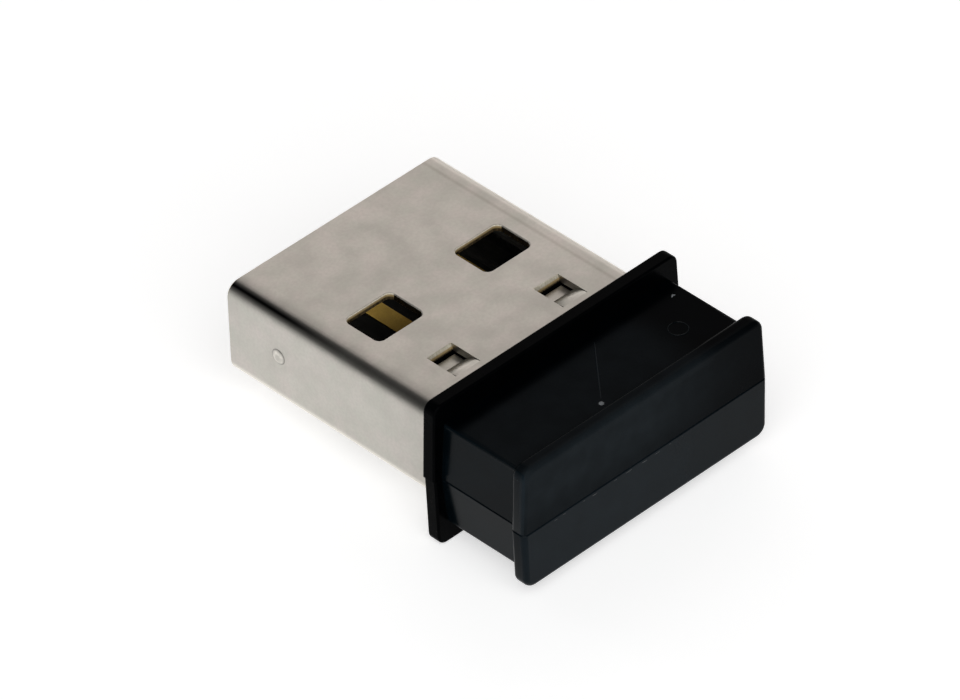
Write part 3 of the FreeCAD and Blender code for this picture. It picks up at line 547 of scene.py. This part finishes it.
SHEET, MOUTH_CUT, TAB_CUT, WINDOW_CUT, DARK_CUT = range(5)
BEHIND_WINDOWS = TAB_WALL + 0.5 * MM  # between the tabs' openings and the windows
LEAST_RISE = 0.0005 * MM  # how far off the side wall a bump's own points start
DOME_RINGS = (0.9, 0.75, 0.6, 0.45, 0.3, 0.12)  # each ring's share of the bump's own radius
RAMP_STEPS = 8
CUT_WITHIN = 1e-8  # how near a cut a point counts as lying on it
LIP = 0.06 * MM  # how much of a wall's foot is dragged in


def on_flat_outside(ends):
    """True for points on the flat outside of the plug's top or underside, clear of its folds."""
    return all(abs(abs(end.z) - SHELL_TOP) < TINY and abs(end.x) < FLAT_REACH - TINY for end in ends)


def is_window_rim(edge):
    """True for an outer edge of a window; the edge is in millimetres."""
    ends = [vert.co * MM for vert in edge.verts]
    return on_flat_outside(ends) and all(BEHIND_WINDOWS < end.y < WINDOW_WALL + TINY for end in ends)


def is_tab_wall_rim(edge):
    """True for the outer edge of the wall before a tab; the edge is in millimetres."""
    ends = [vert.co * MM for vert in edge.verts]
    return on_flat_outside(ends) and all(abs(end.y - TAB_WALL) < TINY for end in ends)


def shell_finish(centre, normal):
    """Cut edges are bright at the mouth; a wall facing the grip is burnished on top with a painted
    highlight over painted shadow; else a window's wall is dark with painted shade.
    """
    if normal.y > 0.5 and centre.y > MOUTH - 0.2 * MM:
        return MOUTH_CUT
    inside_folds = abs(centre.x) < FLAT_REACH - TINY
    in_sheet = abs(centre.z) > SHEET_INSIDE - 0.6 * MM
    if not inside_folds or not in_sheet or abs(normal.z) > 0.95:
        return SHEET
    faces_grip = normal.y < -0.1
    if centre.y < BEHIND_WINDOWS:
        return TAB_CUT if faces_grip else SHEET
    if faces_grip:
        return WINDOW_CUT
    return SHEET if abs(normal.z) > 0.3 else DARK_CUT


def dome_the_bumps(surface):
    """Each side bump becomes a smooth dome that swells from the ring where it leaves the wall."""
    raised = [vert for vert in surface.verts if abs(vert.co.x) > SHELL_SIDE + LEAST_RISE]
    bmesh.ops.delete(surface, geom=raised, context="VERTS")
    open_rims = [vert for vert in surface.verts if vert.is_boundary]
    for side in (-1, 1):
        foot = [vert for vert in open_rims if vert.co.x * side > 0]
        centre = sum((vert.co for vert in foot), Vector()) / len(foot)
        foot.sort(key=lambda vert: math.atan2(vert.co.z - centre.z, vert.co.y - centre.y))
        ring = foot
        for share in DOME_RINGS:
            top = centre + Vector((side * BUMP_HEIGHT * (1 - share ** 2), 0, 0))
            inner = [surface.verts.new(top + share * (vert.co - centre)) for vert in foot]
            for index in range(len(foot)):
                surface.faces.new((ring[index - 1], ring[index], inner[index], inner[index - 1]))
            ring = inner
        surface.faces.new(ring)
    bmesh.ops.recalc_face_normals(surface, faces=surface.faces)


def on_tab(face):
    """True for a face of a tab itself, from its root to its tip."""
    return all(RAMP_LOW[X] - TINY < abs(vert.co.x) < RAMP_HIGH[X] + TINY
               and RAMP_LOW[Y] - TINY < vert.co.y < TAB_WALL - TINY
               and abs(vert.co.z) > SHELL_TOP - 1.5 * MM for vert in face.verts)


def bow_the_tabs(surface):
    """Each tab's ramp leaves the sheet gently and steepens towards its knee."""
    root, knee = RAMP_LOW[Y], RAMP_HIGH[Y]
    drop = RAMP_HIGH[Z] - RAMP_LOW[Z]
    for step in range(1, RAMP_STEPS):
        level = root + (knee - root) * step / RAMP_STEPS
        faces = [face for face in surface.faces if on_tab(face)]
        edges = {edge for face in faces for edge in face.edges}
        verts = {vert for face in faces for vert in face.verts}
        bmesh.ops.bisect_plane(surface, geom=[*faces, *edges, *verts], dist=CUT_WITHIN,
                               plane_co=Vector((0, level, 0)), plane_no=Vector((0, 1, 0)))
    for vert in {vert for face in surface.faces if on_tab(face) for vert in face.verts}:
        share = (vert.co.y - root) / (knee - root)
        if 0 < share < 1:
            vert.co.z += math.copysign(drop * (share - share ** 2), vert.co.z)


def drag_the_lips(surface):
    """The foot of the wall before each tab is dragged towards the tab and inwards, as the punch left it."""
    for vert in surface.verts:
        if abs(abs(vert.co.z) - SHEET_INSIDE) < LIP and -TINY < vert.co.y - TAB_WALL < LIP:
            vert.co.y -= 0.1 * MM
            vert.co.z -= math.copysign(LIP, vert.co.z)


def shape_the_shell(surface):
    """The details of stamping that the CAD node leaves plain."""
    dome_the_bumps(surface)
    bow_the_tabs(surface)
    drag_the_lips(surface)


# ---------------------------------------------------------------- the grip's covers

# the lighter finish is painted light; the mark finish is a painted highlight grey on the upper cover and
# the flash's grey on the lower
GRIP, FLANGE, PAINTED_LIGHTER, MARK = range(4)
FLOW_STEPS = 12
FLASH_STEPS = 110
SUNK = 0.01 * MM  # how deep a mark's middle lies below the surface it stands on


def upper_finish(centre, normal):
    """The flange gets the blackest painted shade, and the sides a lighter copy with painted light, brighter
    than the top.
    """
    if centre.y > FLANGE_BACK - TINY:
        return FLANGE
    return PAINTED_LIGHTER if abs(normal.x) > 0.7 else GRIP


def lower_finish(centre, normal):
    """The flange gets the blackest painted shade, and the rest a lighter copy with painted light."""
    return FLANGE if centre.y > FLANGE_BACK - TINY else PAINTED_LIGHTER


def add_gate(surface):
    """The nib where the plastic's gate broke off, and the flow line from it towards the flange."""
    gate = Vector((-1.15 * MM, PLATE_FRONT + 0.53 * MM, WAIST_TOP))
    levels = (-0.05 * MM, 0.0, 0.03 * MM, 0.045 * MM)
    radii = (0.13 * MM, 0.12 * MM, 0.09 * MM, 0.03 * MM)
    # the nib wears a painted highlight grey
    add_bead(surface, [gate + Vector((0, 0, level)) for level in levels], radii, MARK)
    step = Vector((2.5 * MM, 2.9 * MM, 0)) / FLOW_STEPS
    sunk_gate = gate - Vector((0, 0, 0.05 * MM))
    line = [sunk_gate + index * step for index in range(1, FLOW_STEPS + 1)]
    swell = [math.sin(math.pi * (index + 0.5) / FLOW_STEPS) ** 0.5 for index in range(FLOW_STEPS)]
    # the flow line wears the lighter copy, a painted highlight
    add_bead(surface, line, [(0.045 + 0.02 * share) * MM for share in swell], PAINTED_LIGHTER, sides=16)


def add_ejector_ring(surface):
    """The faint ring that the mould's ejector pin left."""
    pin = Vector((4.25 * MM, PLATE_FRONT + 1.6 * MM, WAIST_TOP - SUNK))
    radius = 0.42 * MM
    ring = [pin + radius * Vector((math.cos(turn), math.sin(turn), 0)) for turn in turns(40)]
    # the ring wears the lighter copy, a painted highlight
    add_bead(surface, ring, [0.03 * MM] * len(ring), PAINTED_LIGHTER, closed=True)


def add_burr(surface):
    """A small burr by the flange."""
    start = Vector((5.5 * MM, FLANGE_BACK - 0.95 * MM, WAIST_TOP - SUNK))
    middle = start + Vector((0.1 * MM, 0.05 * MM, 0))
    end = start + Vector((0.2 * MM, 0, 0))
    # the burr wears a painted highlight grey
    add_bead(surface, [start, middle, end], (0.03 * MM, 0.06 * MM, 0.02 * MM), MARK)


def mark_the_top(surface):
    """The marks of moulding on the waist's top."""
    add_gate(surface)
    add_ejector_ring(surface)
    add_burr(surface)


def flash_the_parting(surface):
    """A ragged thread of flash along the end plate, just under the parting line."""
    left, right = -6.2 * MM, 3.0 * MM
    thinnest, thickest = 0.006 * MM, 0.04 * MM
    centres, radii = [], []
    for index in range(FLASH_STEPS):
        share = index / (FLASH_STEPS - 1)
        across = left + (right - left) * share
        lump = noise.noise(Vector((across / (0.28 * MM), 3.7, 1.9)))
        drift = noise.noise(Vector((across / (1.1 * MM), 8.1, 4.4)))
        fade = math.sin(math.pi * share) ** 0.5
        centres.append(Vector((across, PLATE_BACK + 0.012 * MM, PARTING - (0.13 + 0.05 * drift) * MM)))
        radii.append(thinnest + (thickest - thinnest) * max(0.0, lump) * fade)
    add_bead(surface, centres, radii, MARK, sides=6)


# ---------------------------------------------------------------- every piece

OUTSIDE_PIECES = {
    "plug_shell": dict(name="plug_shell_stamping", roll=OUTSIDE_ROLL,
                       soft_rims=(is_window_rim, is_tab_wall_rim),
                       choose_finish=shell_finish, extras=(SHEARED_EDGE, TAB_EDGE, WINDOW_EDGE, DARK_EDGE),
                       add_details=shape_the_shell),
    "upper_cover": dict(name="upper_cover_moulding", roll=OUTSIDE_ROLL, choose_finish=upper_finish,
                        extras=(FLANGE_PAINTED_SHADE, GRIP_PAINTED_LIGHTER, NIB_PAINTED_HIGHLIGHT), add_details=mark_the_top),
    "lower_cover": dict(name="lower_cover_moulding", roll=OUTSIDE_ROLL, choose_finish=lower_finish,
                        extras=(FLANGE_PAINTED_SHADE, GRIP_PAINTED_LIGHTER, FLASH_GREY), add_details=flash_the_parting),
}

for subpart in frame["record"]["subparts"]:
    node, slot = subpart["node"], subpart["material_slot"]
    inside = dict(name=f"{node}_finished", roll=INSIDE_ROLL)
    refined(node, slot=slot, **OUTSIDE_PIECES.get(node, inside))


# ---------------------------------------------------------------- stage, light and camera

WHITE = (1.0, 1.0, 1.0)
FLOOR_SIZE = 4.0
FLOOR_GAP = 0.02 * MM
FLOOR_GLOW = 0.54
WORLD_GLOW = 0.1
LIGHT_DISTANCE = 0.6
SENSOR_WIDTH = 36.0  # millimetres, as is the camera's lens

# name, azimuth and elevation in degrees, size in metres, radiance, colour
SOFTBOXES = (
    ("backdrop_panel", 48.0, 32.0, 0.5, 0.85, (1.0, 0.94, 0.91)),
    ("low_panel", 40.0, 5.0, 0.2, 1.1, (1.0, 0.98, 0.95)),
    ("horizon_panel", 312.0, 4.0, 0.28, 0.7, WHITE),
    ("fill_softbox", 222.0, 40.0, 0.8, 1.7, WHITE),
    ("rear_panel", 350.0, 25.0, 0.25, 1.0, WHITE),
    ("front_panel", 168.0, 22.0, 0.25, 1.0, WHITE),
)


def add_floor():
    """A pale floor that glows a little, a hair's breadth below the object."""
    level = CAD_BOX[0][Z] - FLOOR_GAP
    mesh = bpy.data.meshes.new("floor")
    half = FLOOR_SIZE / 2
    corners = [(-half, -half, level), (half, -half, level), (half, half, level), (-half, half, level)]
    mesh.from_pydata(corners, [], [(0, 1, 2, 3)])
    floor = bpy.data.objects.new("floor", mesh)
    bpy.context.scene.collection.objects.link(floor)
    finish = Finish("pale_floor", (0.8, 0.8, 0.8), roughness=0.9, specular=0.0)
    finish.shader.inputs["Emission Color"].default_value = (*WHITE, 1.0)
    finish.shader.inputs["Emission Strength"].default_value = FLOOR_GLOW
    mesh.materials.append(finish.material)


def add_softbox(name, azimuth, elevation, size, radiance, color):
    """A square area light that faces the object from that side; azimuth 0 is +Y and 90 is +X."""
    azimuth, elevation = math.radians(azimuth), math.radians(elevation)
    toward = Vector((math.sin(azimuth) * math.cos(elevation), math.cos(azimuth) * math.cos(elevation),
                     math.sin(elevation)))
    data = bpy.data.lights.new(name, "AREA")
    data.shape = "SQUARE"
    data.size = size
    data.energy = radiance * math.pi * size * size
    data.color = color
    light = bpy.data.objects.new(name, data)
    light.location = toward * LIGHT_DISTANCE
    light.rotation_euler = toward.to_track_quat("Z", "Y").to_euler()
    bpy.context.scene.collection.objects.link(light)


def set_world(strength):
    """An even white glow from all round."""
    world = bpy.data.worlds.new("studio")
    bpy.context.scene.world = world
    world.use_nodes = True
    background = world.node_tree.nodes["Background"]
    background.inputs["Color"].default_value = (*WHITE, 1.0)
    background.inputs["Strength"].default_value = strength


def add_camera(azimuth, elevation, roll, distance, lens, aim):
    """A camera looking at `aim`; azimuth 0 looks along +Y."""
    back = Vector((math.sin(azimuth) * math.cos(elevation), -math.cos(azimuth) * math.cos(elevation),
                   math.sin(elevation)))
    right = (-back).cross(Vector((0, 0, 1))).normalized()
    up = back.cross(right)
    turn = Matrix.Rotation(-roll, 3, back)
    right, up = turn @ right, turn @ up
    data = bpy.data.cameras.new("photo_camera")
    data.sensor_width = SENSOR_WIDTH
    data.lens = lens
    camera = bpy.data.objects.new("photo_camera", data)
    axes = Matrix((right, up, back)).transposed().to_4x4()
    camera.matrix_world = Matrix.Translation(aim + back * distance) @ axes
    bpy.context.scene.collection.objects.link(camera)
    bpy.context.scene.camera = camera


add_floor()
set_world(WORLD_GLOW)
for softbox in SOFTBOXES:
    add_softbox(*softbox)
bpy.context.scene.view_settings.view_transform = "Standard"
add_camera(azimuth=math.radians(-43.087), elevation=math.radians(39.193), roll=math.radians(2.228),
           distance=0.38941, lens=363.94, aim=Vector((-0.000144, 0.003693, 0.0002)))
